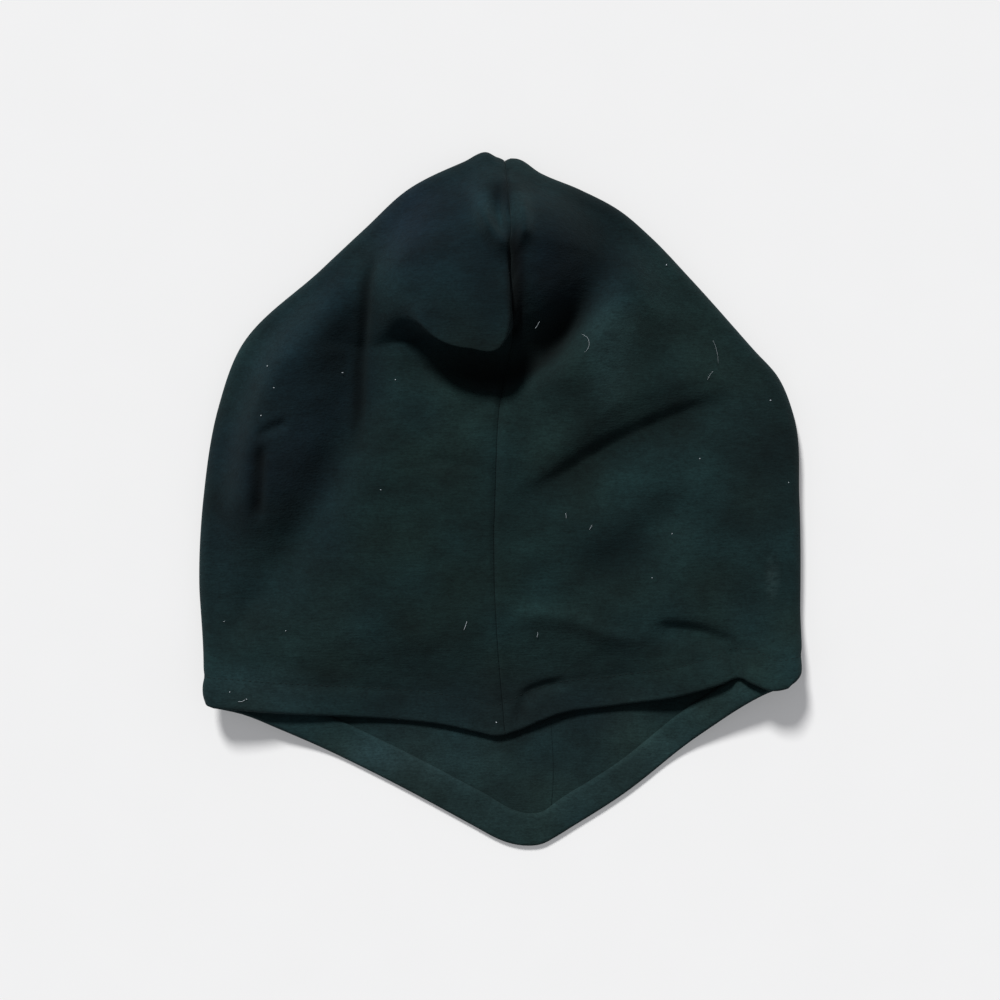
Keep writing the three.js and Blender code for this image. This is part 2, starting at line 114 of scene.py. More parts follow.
# Rows of the cloth: share of the outline and level on the back seam at each section of the hood
sections = {
    "name": ("peak", "top of the face opening", "under the crown", "middle of the back",
             "bottom of the face opening", "top of the hem"),
    "row": (0, 5, 14, 19, 24, 28),
    "outline": (0, 0.17, 0.45, 0.66, 0.9, 1),
    "back": (173, 130, 78, 18, -78, -112),
}
openingTop, openingBottom, hemTop, lastRow = 5, 24, 28, 30

grid = {
    "perRow": 8,            # fine rows to each row of the table
    "allowance": 8,         # columns within the seam allowance
    "back": 112,            # columns from there to the side fold
    "fold": 9,              # columns in each quarter of the side fold
    "front": 40,            # columns under the hood
    "ring": 12,             # columns across the hem of the face opening
    "crowding": 1.15,
    "allowanceShare": 0.3,  # the most of a short row that its allowance takes
    "hemRound": (0.06, 0.2, 0.4, 0.6, 0.8, 0.94),   # depths in the round edge of a hem, as shares
    "outlineSteps": 48,     # straight steps in which the distance to a path is measured
    "foldSteps": 28,
    "lattice": 96,          # random heights each way, for the rolling noise
}
perRow = grid["perRow"]

# The crown: two lobes, one on each side of the seam. left, right, up and down are the distances to
# half the height, soft the share of them over which it falls, tilt the slope of the top, and lean
# how far the top hangs over the cloth beside it
lobes = {
    "name": ("left lobe", "right lobe"),
    "x": (-26, 16),
    "y": (120, 150),
    "height": (25, 30),
    "left": (40, 30),
    "right": (34, 34),
    "up": (54, 36),
    "down": (28, 53),
    "softLeft": (0.95, 0.8),
    "softRight": (0.14, 0.6),
    "softUp": (0.75, 0.9),
    "softDown": (0.26, 0.55),
    "tiltX": (0, -0.22),
    "tiltY": (0, 0.3),
    "leanY": (20, 9),
}
lobePower = 3.6
leanReach = 44.0    # the tops lean over less and less towards that far from the middle
lobeWander = {"height": 2.6, "across": 0.3, "scale": 17.0, "seed": 5}      # the rim of a lobe isn't even

# Folds: a ridge or valley along a path, with its reach to the left and right of the way it runs
folds = {
    "left shoulder": {"height": 17, "reach": (28, 16),
     "x": (-62, -98, -122, -135, -143, -149), "y": (158, 112, 72, 36, 0, -36)},
    "left valley": {"height": -9, "reach": (13, 15),
     "x": (-37, -59, -70, -75, -79, -79, -93, -110, -131, -146),
     "y": (173, 150, 129, 108, 79, 38, 10, -23, -56, -78)},
    "crease in the left valley": {"height": -3, "reach": (2.5, 3),
     "x": (-64, -71, -73, -76, -77, -80), "y": (142, 122, 98, 70, 42, 20)},
    "crease under the crown": {"height": -10, "reach": (12, 8),
     "x": (-58, -44, -20, 4, 22, 37, 50, 56), "y": (79, 74, 69, 67, 75, 92, 114, 132), "fade": 0.32},
    "right ridge": {"height": 14, "reach": (24, 13),
     "x": (86, 78, 66, 50, 12), "y": (162, 138, 106, 82, 52)},
    "ridge over the diagonal": {"height": 3.5, "reach": (8, 14),
     "x": (134, 100, 70, 36, 4), "y": (72, 66, 56, 32, 10)},
    "diagonal valley": {"height": -5.5, "reach": (18, 5),
     "x": (134, 101, 75, 50, 33, 4), "y": (55, 47, 36.5, 23.5, 12, -5)},
    "lower diagonal": {"height": -5, "reach": (16, 12),
     "x": (106, 88, 76, 60, 42), "y": (6, -13, -24, -35, -48)},
    "fold by the right hem": {"height": -4.5, "reach": (4, 9),
     "x": (80, 104, 121, 134), "y": (-70, -72, -77, -85)},
    "pinch at the right hem": {"height": -3, "reach": (3, 3),
     "x": (127, 128, 131), "y": (-80, -90, -102)},
    "pale ridge": {"height": 2.6, "reach": (5, 6),
     "x": (-2, 25, 40, 56, 84), "y": (-67, -63.5, -66, -73, -80)},
    "hem curl": {"height": -2.6, "reach": (4, 3),
     "x": (40, 27, 17, 12, 12), "y": (-101.5, -102.5, -106, -113, -130)},
    "left crease": {"height": -4.5, "reach": (3, 4),
     "x": (-126, -129, -130, -132), "y": (32, 24, 8, -14)},
    "short crease on the left": {"height": -2.5, "reach": (2.5, 3.5),
     "x": (-133, -124, -114), "y": (33, 38, 42)},
    "crease low on the left": {"height": -2, "reach": (6, 7),
     "x": (-128, -138, -150), "y": (-46, -60, -80)},
    "short crease by the seam": {"height": -1.2, "reach": (3, 4),
     "x": (-42, -30, -14), "y": (21, 20.5, 17)},
    "swelling right of the seam": {"height": 1.6, "reach": (9, 3),
     "x": (6, 4, 3, 3), "y": (60, 38, 15, -10)},
    "ridge along the seam": {"height": 1.3, "reach": (4, 4),
     "x": (-3.5, -2, 0, 2), "y": (-46, -70, -92, -112)},
    "dent left of the peak seam": {"height": -7, "reach": (3, 4), "fade": 0.45,
     "x": (0.5, -1, 0.5, 3), "y": (176, 168, 160, 152)},
    "pleat left of the peak seam": {"height": 7, "reach": (3.5, 4), "fade": 0.35,
     "x": (-20, -13, -7, 0, 6.4), "y": (173, 167, 161.5, 155, 145)},
    "pleat right of the peak seam": {"height": 5, "reach": (4, 4), "fade": 0.4,
     "x": (8, 12, 13, 9), "y": (172, 163, 152, 142)},
    "step at the crown seam": {"height": -5, "reach": (3.5, 1.5),
     "x": (5.5, 6.8, 7.4, 7.6, 7), "y": (150, 132, 114, 98, 84)},
}
foldFade = 0.25     # share of a path over which a fold fades in and out, where its row names no other
undulation = {
    "scales": (26.0, 11.0, 5.0),
    "heights": (0.9, 0.4, 0.16),
    "calmY": (-85, -106),       # calmer from here on, towards the hem
    "calm": 0.75,
    "seed": 7,
}

# Dips that seams and stitching draw into the cloth
grooves = {
    "seam": {"depth": 1.4, "reach": 1.6, "fade": 0.6, "fadeY": (-35, -75)},
    "hem": {"depth": 0.5, "reach": 2.8, "fromEdge": 17.0},
    "faceHem": {"depth": 0.5, "reach": 1.1, "fromEdge": 10.6},
}

# Patches of painted shade (a tint below 1) and painted light (a tint above 1) on the cloth, and folds with
# painted shade at their bottom
paintedLightAndShade = {
    "crown": {"at": (-25, 150), "reach": (64, 52), "tint": (0.5, 0.58, 0.78)},
    "crown, violet side": {"at": (-52, 155), "reach": (24, 26), "tint": (1.12, 0.94, 1.15)},
    "right of the peak": {"at": (54, 150), "reach": (34, 34), "tint": (0.3, 0.38, 0.46)},
    "right of the crown seam": {"at": (30, 124), "reach": (19, 25), "tint": (0.46, 0.49, 0.64)},
    "beside the crown seam": {"at": (9, 117), "reach": (5, 27), "tint": (0.24, 0.28, 0.38)},
    "along the peak seam": {"at": (3.6, 167), "reach": (2.2, 13), "tint": (0.4, 0.48, 0.55)},
    "puff by the seam": {"at": (-4, 108), "reach": (13, 26), "tint": (0.55, 0.66, 0.74)},
    "left end of the crown": {"at": (-45, 92), "reach": (24, 12), "tint": (0.68, 0.72, 0.8)},
    "beside the peak seam": {"at": (-1, 165), "reach": (4.5, 9), "tint": (0.5, 0.56, 0.64)},
    "pleat by the peak seam": {"at": (11.6, 153), "reach": (7, 14), "tint": (1.65, 1.6, 1.5)},
    "end of the pleats": {"at": (-4, 150), "reach": (11, 9), "tint": (1.7, 1.62, 1.5)},
    "left shoulder": {"at": (-108, 45), "reach": (42, 78), "tint": (0.64, 0.68, 0.9)},
    "left valley": {"at": (-84, 84), "reach": (19, 40), "tint": (0.6, 0.72, 0.84)},
    "by the left crease": {"at": (-114, 18), "reach": (26, 26), "tint": (0.82, 0.78, 0.9)},
    "left side": {"at": (-152, 0), "reach": (26, 70), "tint": (0.62, 0.62, 0.74)},
    "middle of the back": {"at": (-28, -14), "reach": (74, 56), "tint": (0.76, 0.82, 0.8)},
    "between the diagonals": {"at": (64, -32), "reach": (28, 20), "tint": (0.45, 0.53, 0.57)},
    "right of the ridge": {"at": (86, 70), "reach": (18, 22), "tint": (0.7, 0.78, 0.8)},
    "right ridge": {"at": (58, 92), "reach": (14, 38), "tint": (1.8, 1.7, 1.85)},
    "right side": {"at": (140, 30), "reach": (28, 42), "tint": (0.76, 0.72, 0.73)},
    "nape": {"at": (10, -113), "reach": (92, 17), "tint": (0.76, 0.65, 0.71)},
    "left corner": {"at": (-128, -108), "reach": (32, 14), "tint": (1.55, 1.33, 1.42)},
    "low on the left": {"at": (-105, -72), "reach": (34, 20), "tint": (1.15, 1.1, 1.12)},
    "bib": {"at": (15, -152), "reach": (110, 32), "tint": (1.25, 1.12, 1.16)},
    "left of the bib": {"at": (-48, -138), "reach": (42, 16), "tint": (1.45, 1.34, 1.38)},
    "right of the bib": {"at": (78, -124), "reach": (30, 15), "tint": (1.45, 1.36, 1.3)},
}
patchWander = {"share": 0.2, "scale": 31.0, "seed": 3}     # their edges aren't even
mottle = {"hue": (0.1, -0.01, -0.08), "hueScale": 23.0, "shade": 0.09, "shadeScale": 12.0, "seed": 9}
# Painted shade at the bottom of these folds: how much darker (a negative share paints light instead), and its
# reach to the left and right of the path
paintedCreaseShading = {
    "name": ("crease under the crown", "left crease", "crease in the left valley", "step at the crown seam",
             "pleat left of the peak seam", "diagonal valley"),
    "share": (0.8, 0.7, 0.65, 0.75, -0.55, 0.35),
    "left": (15, 4, 4, 5, 5, 12),
    "right": (6, 4, 5, 3, 5, 6),
}


# A cubic through every knot; each slope is the mean of its neighbours', weighted by the other span
def smoothCurve(knots, values):
    knots = np.asarray(knots, float)
    values = np.asarray(values, float)
    span = np.diff(knots)
    slope = np.diff(values) / span
    inner = (slope[:-1] * span[1:] + slope[1:] * span[:-1]) / (span[:-1] + span[1:])
    slopes = np.concatenate([slope[:1], inner, slope[-1:]])

    def at(x):
        i = np.clip(np.searchsorted(knots, x, side="right") - 1, 0, len(span) - 1)
        t = np.clip((x - knots[i]) / span[i], 0, 1)
        u = 1 - t
        return (u * u * (1 + 2 * t) * values[i] + u * u * t * span[i] * slopes[i]
                + t * t * (3 - 2 * t) * values[i + 1] - t * t * u * span[i] * slopes[i + 1])

    return at


# The same curve through points in the plane, measured along its chords
def smoothPath(x, y):
    reached = np.concatenate([[0], np.cumsum(np.hypot(np.diff(x), np.diff(y)))])
    atX = smoothCurve(reached, x)
    atY = smoothCurve(reached, y)
    return reached[-1], lambda s: np.stack([atX(s), atY(s)], -1)


# Smooth step from 0 at start to 1 at end
def ease(start, end, x):
    t = np.clip((x - start) / (end - start), 0, 1)
    return t * t * (3 - 2 * t)


# Rolling noise: random heights on a square lattice, joined by smooth steps
def rolling(x, y, scale, seed):
    size = grid["lattice"]
    lattice = np.random.default_rng(seed).uniform(-1, 1, (size, size))
    u = x / scale + size / 2
    v = y / scale + size / 2
    i = np.floor(u).astype(int) % (size - 1)
    j = np.floor(v).astype(int) % (size - 1)
    a = ease(0, 1, u - np.floor(u))
    b = ease(0, 1, v - np.floor(v))
    low = lattice[i, j] * (1 - a) + lattice[i + 1, j] * a
    high = lattice[i, j + 1] * (1 - a) + lattice[i + 1, j + 1] * a
    return low * (1 - b) + high * b


backSeamX = smoothCurve(backSeam["y"], backSeam["x"])
frontSeamX = smoothCurve(frontSeam["y"], frontSeam["x"])
napeY = smoothCurve(napeEdge["x"], napeEdge["y"])
bibY = smoothCurve(bibEdge["x"], bibEdge["y"])
napeLevelAt = smoothCurve(napeLevel["x"], napeLevel["z"])
outlineShare = smoothCurve(sections["row"], sections["outline"])
backLevel = smoothCurve(sections["row"], sections["back"])


# Nearest place of a path, cut into straight steps: how far it is, on which side, and how far along
def nearestOn(pathX, pathY, steps, x, y):
    length, at = smoothPath(pathX, pathY)
    line = at(np.linspace(0, length, steps + 1))
    nearest = np.full(x.shape, 1e9)
    side = np.zeros(x.shape)
    along = np.zeros(x.shape)
    for i in range(steps):
        way = line[i + 1] - line[i]
        px = x - line[i, 0]
        py = y - line[i, 1]
        t = np.clip((px * way[0] + py * way[1]) / (way @ way), 0, 1)
        px = px - t * way[0]
        py = py - t * way[1]
        distance = np.hypot(px, py)
        closer = distance < nearest
        nearest = np.where(closer, distance, nearest)
        side = np.where(closer, way[0] * py - way[1] * px, side)
        along = np.where(closer, (i + t) / steps, along)
    return nearest, side, along


# Height of a fold: height * exp(-(distance / reach)^2) across its path, fading out towards both ends
def foldHeight(fold, x, y):
    nearest, side, along = nearestOn(fold["x"], fold["y"], grid["foldSteps"], x, y)
    reach = np.where(side > 0, *fold["reach"])
    bell = np.exp(-(nearest / reach) ** 2)
    fade = fold.get("fade", foldFade)
    return fold["height"] * bell * ease(0, fade, along) * ease(1, 1 - fade, along)


# Share of a lobe of the crown: 1 inside a rounded shape, falling over its own width on each side
def lobeShare(lobe, x, y):
    dx = x - lobe["x"]
    dy = y - lobe["y"]
    a = np.abs(dx / np.where(dx < 0, lobe["left"], lobe["right"])) ** lobePower
    b = np.abs(dy / np.where(dy > 0, lobe["up"], lobe["down"])) ** lobePower
    across = a / np.maximum(a + b, 1e-9)
    softX = np.where(dx < 0, lobe["softLeft"], lobe["softRight"])
    softY = np.where(dy > 0, lobe["softUp"], lobe["softDown"])
    soft = softX * across + softY * (1 - across)
    return 1 - ease(1 - soft, 1 + soft, (a + b) ** (1 / lobePower))


def cornerLift(x, y):
    height = np.where(x < 0, form["cornerLift"]["left"], form["cornerLift"]["right"])
    return height * ease(*form["cornerX"], np.abs(x)) * ease(*form["cornerY"], y)


# Outer face of the back: side fold, pillow, hem, folds, undulation and crown, one on another; angle
# is the turn into the side fold, and all but the fold grow with the distance in from the outline
def backFace(x, y, radius, angle):
    steps = grid["outlineSteps"]
    edge = np.minimum(*[nearestOn(side["x"], side["y"], steps, x, y)[0] for side in outline.values()])
    inland = ease(0, form["pillowReach"] / 2, edge)
    z = radius * (1 + np.cos(angle)) + cornerLift(x, y)
    z = z + form["pillowHeight"] * ease(0, form["pillowReach"], edge) * ease(*form["pillowY"], y)
    z = z + (napeLevelAt(x) - 2 * form["hemRadius"]) * ease(*napeLevelY, y) * inland
    for fold in folds.values():
        z = z + foldHeight(fold, x, y) * inland
    free = inland * (1 - undulation["calm"] * ease(*undulation["calmY"], y))
    for n, (scale, height) in enumerate(zip(undulation["scales"], undulation["heights"])):
        z = z + height * rolling(x, y, scale, undulation["seed"] + n) * free

    # A lobe stands where those before it in the table don't
    wander = lobeWander["height"] * rolling(x, y, lobeWander["scale"], lobeWander["seed"])
    free = inland
    standing = np.zeros(x.shape)
    lean = np.zeros(x.shape)
    for k in range(len(lobes["name"])):
        lobe = {key: values[k] for key, values in lobes.items()}
        share = lobeShare(lobe, x + lobeWander["across"] * wander, y + wander) * free
        top = lobe["height"] + lobe["tiltX"] * (x - lobe["x"]) + lobe["tiltY"] * (y - lobe["y"])
        z = z + np.maximum(top, 0) * share
        standing = standing + share
        lean = lean + lobe["leanY"] * share
        free = free - share
    lean = lean * standing * np.exp(-(x / leanReach) ** 4)
    return np.stack([x, y - lean, z], -1)


# Outer face of the front, flat on the ground but for the fold and the lifted corners
def frontFace(x, y, radius, angle):
    return np.stack([x, y, radius * (1 - np.cos(angle)) + cornerLift(x, y)], -1)


# Edge of the front at each row: the front seam, broken by the round of the face opening
def frontEdge(rows, sign, grow):
    top = opening["y"] + opening["halfHeight"] + cloth["faceHem"]
    bottom = opening["y"] - opening["halfHeight"] - cloth["faceHem"]
    bandTop = bibY(frontSeamX(form["bibEndY"])) + cloth["hem"]
    y = np.interp(rows, (0, openingTop, openingBottom, hemTop, lastRow),
                  (backLevel(0.0), top, bottom, bandTop, bandTop - cloth["hem"]))
    turn = np.pi * np.clip((rows - openingTop) / (openingBottom - openingTop), 0, 1)
    inside = (rows >= openingTop) & (rows <= openingBottom)
    y = np.where(inside, opening["y"] + (opening["halfHeight"] + grow) * np.cos(turn), y)
    x = frontSeamX(y) + sign * cloth["seamGap"] / 2
    x = x + np.where(inside, sign * (opening["halfWidth"] + grow) * np.sin(turn), 0)
    return np.stack([x, y], -1)


# Distances from a seam to the start of the side fold: even within the allowance, then widening
def spread(length, count):
    first = np.minimum(cloth["allowance"], grid["allowanceShare"] * length)[:, None]
    near = first * np.linspace(0, 1, grid["allowance"] + 1)[:-1]
    far = first + (length[:, None] - first) * np.linspace(0, 1, count + 1) ** grid["crowding"]
    return np.concatenate([near, far], 1)


# Fine rows of the grid; the last one leaves room for the round edge of the hem
def fineRows():
    end = lastRow - hemFold * (lastRow - hemTop) / cloth["hem"]
    above = np.linspace(0, hemTop, hemTop * perRow + 1)
    return np.concatenate([above, np.linspace(hemTop, end, (lastRow - hemTop) * perRow + 1)[1:]])


# One half of the hood: every row runs from the back seam over the side fold and under to the front
# seam, straight in plan but for the bend into the hem, and its face comes from backFace and frontFace
def makeHalf(side):
    sign = -1 if side == "left" else 1
    rows = fineRows()
    inBand = np.clip((rows - hemTop) / (lastRow - hemTop), 0, 1)
    above = np.minimum(rows, hemTop)
    length, outlineAt = smoothPath(**outline[side])
    reached = outlineShare(above) * (length - cloth["hem"])
    far = outlineAt(reached + (length - reached) * inBand)
    far[:, 0] += sign * cloth["seamGap"] / 2
    corner = outlineAt(length)
    level = backLevel(above) + (form["napeEndY"] - backLevel(above)) * inBand
    near = np.stack([backSeamX(level) + sign * cloth["seamGap"] / 2, level], -1)
    under = frontEdge(rows, sign, cloth["faceHem"])
    backLength = np.linalg.norm(far - near, axis=1)
    frontLength = np.linalg.norm(far - under, axis=1)
    flatter = ease(form["flattenFrom"], hemTop, rows)
    radius = form["edgeRadius"] + (form["hemRadius"] - form["edgeRadius"]) * flatter
    radius = np.minimum(radius, np.minimum(backLength, frontLength) / 2)
    pull = ease(hemTop / 2, hemTop, rows)[:, None]
    step = form["slopeStep"]

    # A slanting hem is as wide as a level one: its top line moves up by hem * (1 / cos(slant) - 1)
    def place(start, share, hemY, seamEnd):
        point = start[:, None] + (far - start)[:, None] * share[..., None]
        x = seamEnd[0] + (corner[0] - seamEnd[0]) * share
        line = seamEnd[1] + (corner[1] - seamEnd[1]) * share
        slope = (hemY(x + step) - hemY(x - step)) / (2 * step)
        wider = cloth["hem"] * (np.sqrt(1 + slope ** 2) - 1) * (1 - inBand[:, None])
        wider = wider * ease(1, form["slantUpTo"], share)
        return point[..., 0], point[..., 1] + pull * (hemY(x) - line + wider)

    quarter = np.linspace(0, np.pi / 2, grid["fold"] + 1)
    inset = radius[:, None] * (1 - np.sin(quarter))
    wide = radius[:, None]
    seamEndX = backSeamX(form["napeEndY"])

    # Back layer, seam to fold
    flat = spread(backLength - radius, grid["back"])
    travel = np.concatenate([flat, backLength[:, None] - inset[:, 1:]], 1)
    angle = np.concatenate([np.zeros(flat.shape), np.broadcast_to(quarter[1:], inset[:, 1:].shape)], 1)
    x, y = place(near, travel / backLength[:, None], napeY, (seamEndX, napeY(seamEndX)))
    back = backFace(x, y, wide, angle)

    # Front layer, fold to seam or face opening
    flat = spread(frontLength - radius, grid["front"])
    travel = np.concatenate([flat, frontLength[:, None] - inset[:, 1:-1]], 1)[:, ::-1]
    angle = np.concatenate([np.zeros(flat.shape), np.broadcast_to(quarter[1:-1], inset[:, 1:-1].shape)], 1)
    x, y = place(under, travel / frontLength[:, None], bibY, frontEdge(np.array([lastRow]), sign, 0)[0])
    front = frontFace(x, y, wide, angle[:, ::-1])

    points = np.concatenate([back, front], 1)
    ids = np.arange(points[..., 0].size).reshape(points.shape[:2])

    # Band of cloth round the face opening
    firstRow, endRow = openingTop * perRow, openingBottom * perRow + 1
    steps = np.linspace(cloth["faceHem"], hemFold, grid["ring"] + 1)[1:]
    bands = [frontEdge(rows[firstRow:endRow], sign, grow) for grow in steps]
    ring = np.stack(bands, 1)
    ring = frontFace(ring[..., 0], ring[..., 1], 0, 0)
    ringIds = ids.size + np.arange(ring[..., 0].size).reshape(ring.shape[:2])
    ringIds = np.concatenate([ids[firstRow:endRow, -1:], ringIds], 1)
    return {"side": side, "points": np.concatenate([points.reshape(-1, 3), ring.reshape(-1, 3)]),
            "ids": ids, "ring": ringIds}


# Quads between neighbouring rows and columns of an array of vertex numbers, facing out
def cells(ids, side):
    a, b, c, d = ids[:-1, :-1], ids[1:, :-1], ids[1:, 1:], ids[:-1, 1:]
    order = (a, b, c, d) if side == "right" else (a, d, c, b)
    return np.stack(order, -1).reshape(-1, 4)


# Quads that close the seam between a line of the left half and the same line of the right half
def bridge(leftLine, rightLine):
    order = (leftLine[:-1], rightLine[:-1], rightLine[1:], leftLine[1:])
    return np.stack(order, -1).reshape(-1, 4)


# Normal at each vertex: the sum of the area normals of the quads round it
def vertexNormals(points, quads):
    corner = points[quads]
    area = np.cross(corner[:, 2] - corner[:, 0], corner[:, 3] - corner[:, 1])
    normals = np.zeros(points.shape)
    for k in range(4):
        np.add.at(normals, quads[:, k], area)
    return normals / np.maximum(np.linalg.norm(normals, axis=1, keepdims=True), 1e-12)


def joinHalves():
    left, right = makeHalf("left"), makeHalf("right")
    shift = len(left["points"])
    right["ids"] = right["ids"] + shift
    right["ring"] = right["ring"] + shift
    for half in (left, right):
        half["quads"] = np.concatenate([cells(half[key], half["side"]) for key in ("ids", "ring")])
    points = np.concatenate([left["points"], right["points"]])

    # Both halves meet at one level along the back seam and over the peak, the seam gap apart
    for leftLine, rightLine in ((left["ids"][:, 0], right["ids"][:, 0]), (left["ids"][0], right["ids"][0])):
        middle = (points[leftLine] + points[rightLine]) / 2
        points[leftLine] = middle - [cloth["seamGap"] / 2, 0, 0]
        points[rightLine] = middle + [cloth["seamGap"] / 2, 0, 0]
    normals = vertexNormals(points, np.concatenate([left["quads"], right["quads"]]))

    # Both halves share one normal along a seam, so that their walls don't cross there
    firstRow, endRow = openingTop * perRow, openingBottom * perRow
    seams = [(half["ids"][:, 0], half["ids"][:firstRow + 1, -1], half["ids"][endRow:, -1],
              half["ids"][0, 1:-1], half["ring"][0], half["ring"][-1]) for half in (left, right)]
    for leftLine, rightLine in zip(*seams):
        shared = normals[leftLine] + normals[rightLine]
        shared /= np.linalg.norm(shared, axis=1, keepdims=True)
        normals[leftLine] = shared
        normals[rightLine] = shared
    return {"left": left, "right": right, "points": points, "normals": normals}


# Depth to which the cloth is drawn in by its seams and by the stitching of its hems: a narrow dip
# depth * exp(-(distance / reach)^2) about each line
def drawnIn(hood):
    rowCount, columnCount = hood["left"]["ids"].shape
    half = columnCount // 2
    bandEnd = fineRows()[-1]
    depth = np.zeros(len(hood["points"]))

    def dip(distance, kind):
        return kind["depth"] * np.exp(-(distance / kind["reach"]) ** 2)

    for side in ("left", "right"):
        ids = hood[side]["ids"]
        face = hood["points"][ids]
        onBack = dip(np.linalg.norm(face[:, :half] - face[:, :1], axis=-1), grooves["seam"])
        onFront = dip(np.linalg.norm(face[:, half:] - face[:, -1:], axis=-1), grooves["seam"])
        onFront[openingTop * perRow + 1:openingBottom * perRow] = 0
        overPeak = dip(np.linalg.norm(face - face[:1], axis=-1), grooves["seam"])
        seam = np.maximum(np.concatenate([onBack, onFront], 1), overPeak)
        depth[ids] = seam * (1 - grooves["seam"]["fade"] * ease(*grooves["seam"]["fadeY"], face[..., 1]))
        toEdge = (bandEnd - fineRows()[:, None]) / (lastRow - hemTop) * cloth["hem"] + hemFold
        depth[ids] += dip(toEdge - grooves["hem"]["fromEdge"], grooves["hem"])
        ring = hood[side]["ring"]
        steps = np.linspace(cloth["faceHem"], hemFold, grid["ring"] + 1)
        depth[ring] = np.maximum(depth[ring], dip(steps - grooves["faceHem"]["fromEdge"], grooves["faceHem"]))
    return depth


# Tint of the cloth: 1 - share * (1 - tint) for each patch of painted shade (tint below 1) and painted light
# (tint above 1), with a share of exp(-distance^3), the distance counted in reaches; then a mottle, and
# painted shade at the bottom of the folds that the table of crease shading names
def paintedShadingAndMottle(hood):
    x, y, z = hood["points"].T
    tint = np.ones((len(x), 3))
    wander = rolling(x, y, patchWander["scale"], patchWander["seed"])
    # Painted shade and painted light, patch by patch
    for patch in paintedLightAndShade.values():
        dx = (x - patch["at"][0]) / patch["reach"][0] + patchWander["share"] * wander
        dy = (y - patch["at"][1]) / patch["reach"][1] - patchWander["share"] * wander
        share = np.exp(-(dx ** 2 + dy ** 2) ** 1.5)[:, None]
        tint *= 1 - share * (1 - np.array(patch["tint"]))
    hue = rolling(x, y, mottle["hueScale"], mottle["seed"])[:, None]
    shade = rolling(x, y, mottle["shadeScale"], mottle["seed"] + 1)[:, None]
    tint *= (1 + hue * np.array(mottle["hue"])) * (1 + shade * mottle["shade"])
    # Painted shade at the bottom of the named folds, where the cloth stands off the ground
    for name, share, inner, outer in zip(*paintedCreaseShading.values()):
        depth = foldHeight(dict(folds[name], height=share, reach=(inner, outer)), x, y)
        tint *= 1 - np.where(z > 2 * cloth["wall"], depth, 0)[:, None]
    return tint


# Inner depth of the turned-in plies, which thin out towards their cut edges as a quarter ellipse does:
# ply * sqrt(1 - share^2), share being the distance from the middle of a seam or the depth into a hem
def turnedDepth(hood):
    thick = np.ones(len(hood["points"]))
    acrossSeam = np.sqrt(1 - np.linspace(0, cutEdge["seam"], grid["allowance"] + 1) ** 2)
    intoHem = np.sqrt(1 - np.linspace(cutEdge["hem"], 0, cutEdge["hemRows"]) ** 2)[:, None]
    for half in (hood["left"], hood["right"]):
        ids = half["ids"]
        thick[ids[:, :grid["allowance"] + 1]] *= acrossSeam
        thick[ids[:openingTop * perRow, -grid["allowance"] - 1:]] *= acrossSeam[::-1]
        band = ids[hemTop * perRow:]
        thick[band] = 1
        thick[band[:cutEdge["hemRows"]]] = intoHem
    return turnedFrom + cloth["ply"] * thick


# Closed sheet between two depths under the outer face. Its rim is a wall. On the vertices named in
# rounded the wall follows a half circle as thick as the whole hem, so that both plies make one fold
def closedSheet(name, hood, quads, fromDepth, toDepth, rounded=()):
    used, quads = np.unique(quads, return_inverse=True)
    tint = hood["tint"][used]
    quads = quads.reshape(-1, 4)
    points = hood["points"][used]
    normals = hood["normals"][used]
    upper = np.broadcast_to(fromDepth, len(hood["points"]))[used][:, None]
    lower = np.broadcast_to(toDepth, len(hood["points"]))[used][:, None]
    edges = np.stack([quads, np.roll(quads, -1, axis=1)], -1).reshape(-1, 2)
    key = edges.min(1) * len(used) + edges.max(1)
    _, first, count = np.unique(key, return_index=True, return_counts=True)
    rim = edges[first[count == 1]]

    # Way out at each rounded vertex: across the rim, in the plane of the cloth
    both = np.isin(used, rounded)[rim].all(1)
    across = np.cross(points[rim[:, 1]] - points[rim[:, 0]], normals[rim[:, 0]])
    across[~both] = 0
    out = np.zeros(points.shape)
    np.add.at(out, rim[:, 0], across)
    np.add.at(out, rim[:, 1], across)
    out /= np.maximum(np.linalg.norm(out, axis=1, keepdims=True), 1e-9)

    layers = [points - normals * upper]
    for share in grid["hemRound"] if len(rounded) else ():
        depth = upper + (lower - upper) * share
        bulge = np.sqrt(np.maximum(hemFold ** 2 - (depth - hemFold) ** 2, 0))
        layers.append(points - normals * depth + out * bulge)
    layers.append(points - normals * lower)
    n = len(used)
    faces = [quads, quads[:, ::-1] + n * (len(layers) - 1)]
    for k in range(len(layers) - 1):
        a, b = rim[:, 0] + n * k, rim[:, 1] + n * k
        faces.append(np.stack([b, a, a + n, b + n], -1))
    tints = np.tile(tint, (len(layers), 1))
    return makeMesh(name, np.concatenate(layers), np.concatenate(faces), tints)


def addObject(name, data):
    added = bpy.data.objects.new(name, data)
    bpy.context.scene.collection.objects.link(added)
    return added


# Mesh from arrays of millimetre points and quads; points that no quad uses are dropped
def makeMesh(name, points, quads, tints=None):
    used, quads = np.unique(quads, return_inverse=True)
    quads = quads.reshape(-1, 4)
    mesh = bpy.data.meshes.new(name)
    mesh.vertices.add(len(used))
    mesh.vertices.foreach_set("co", (points[used] * mm).astype(np.float32).ravel())
    mesh.loops.add(quads.size)
    mesh.loops.foreach_set("vertex_index", quads.astype(np.int32).ravel())
    mesh.polygons.add(len(quads))
    mesh.polygons.foreach_set("loop_start", np.arange(0, quads.size, 4, dtype=np.int32))
    mesh.polygons.foreach_set("use_smooth", np.ones(len(quads), bool))
    # The tint of each vertex: painted light and shade, and mottle
    if tints is not None:
        tint = mesh.attributes.new("tint", "FLOAT_COLOR", "POINT")
        tint.data.foreach_set("color", np.insert(tints[used], 3, 1, axis=1).astype(np.float32).ravel())
    mesh.update()
    mesh.validate()
    return addObject(name, mesh)


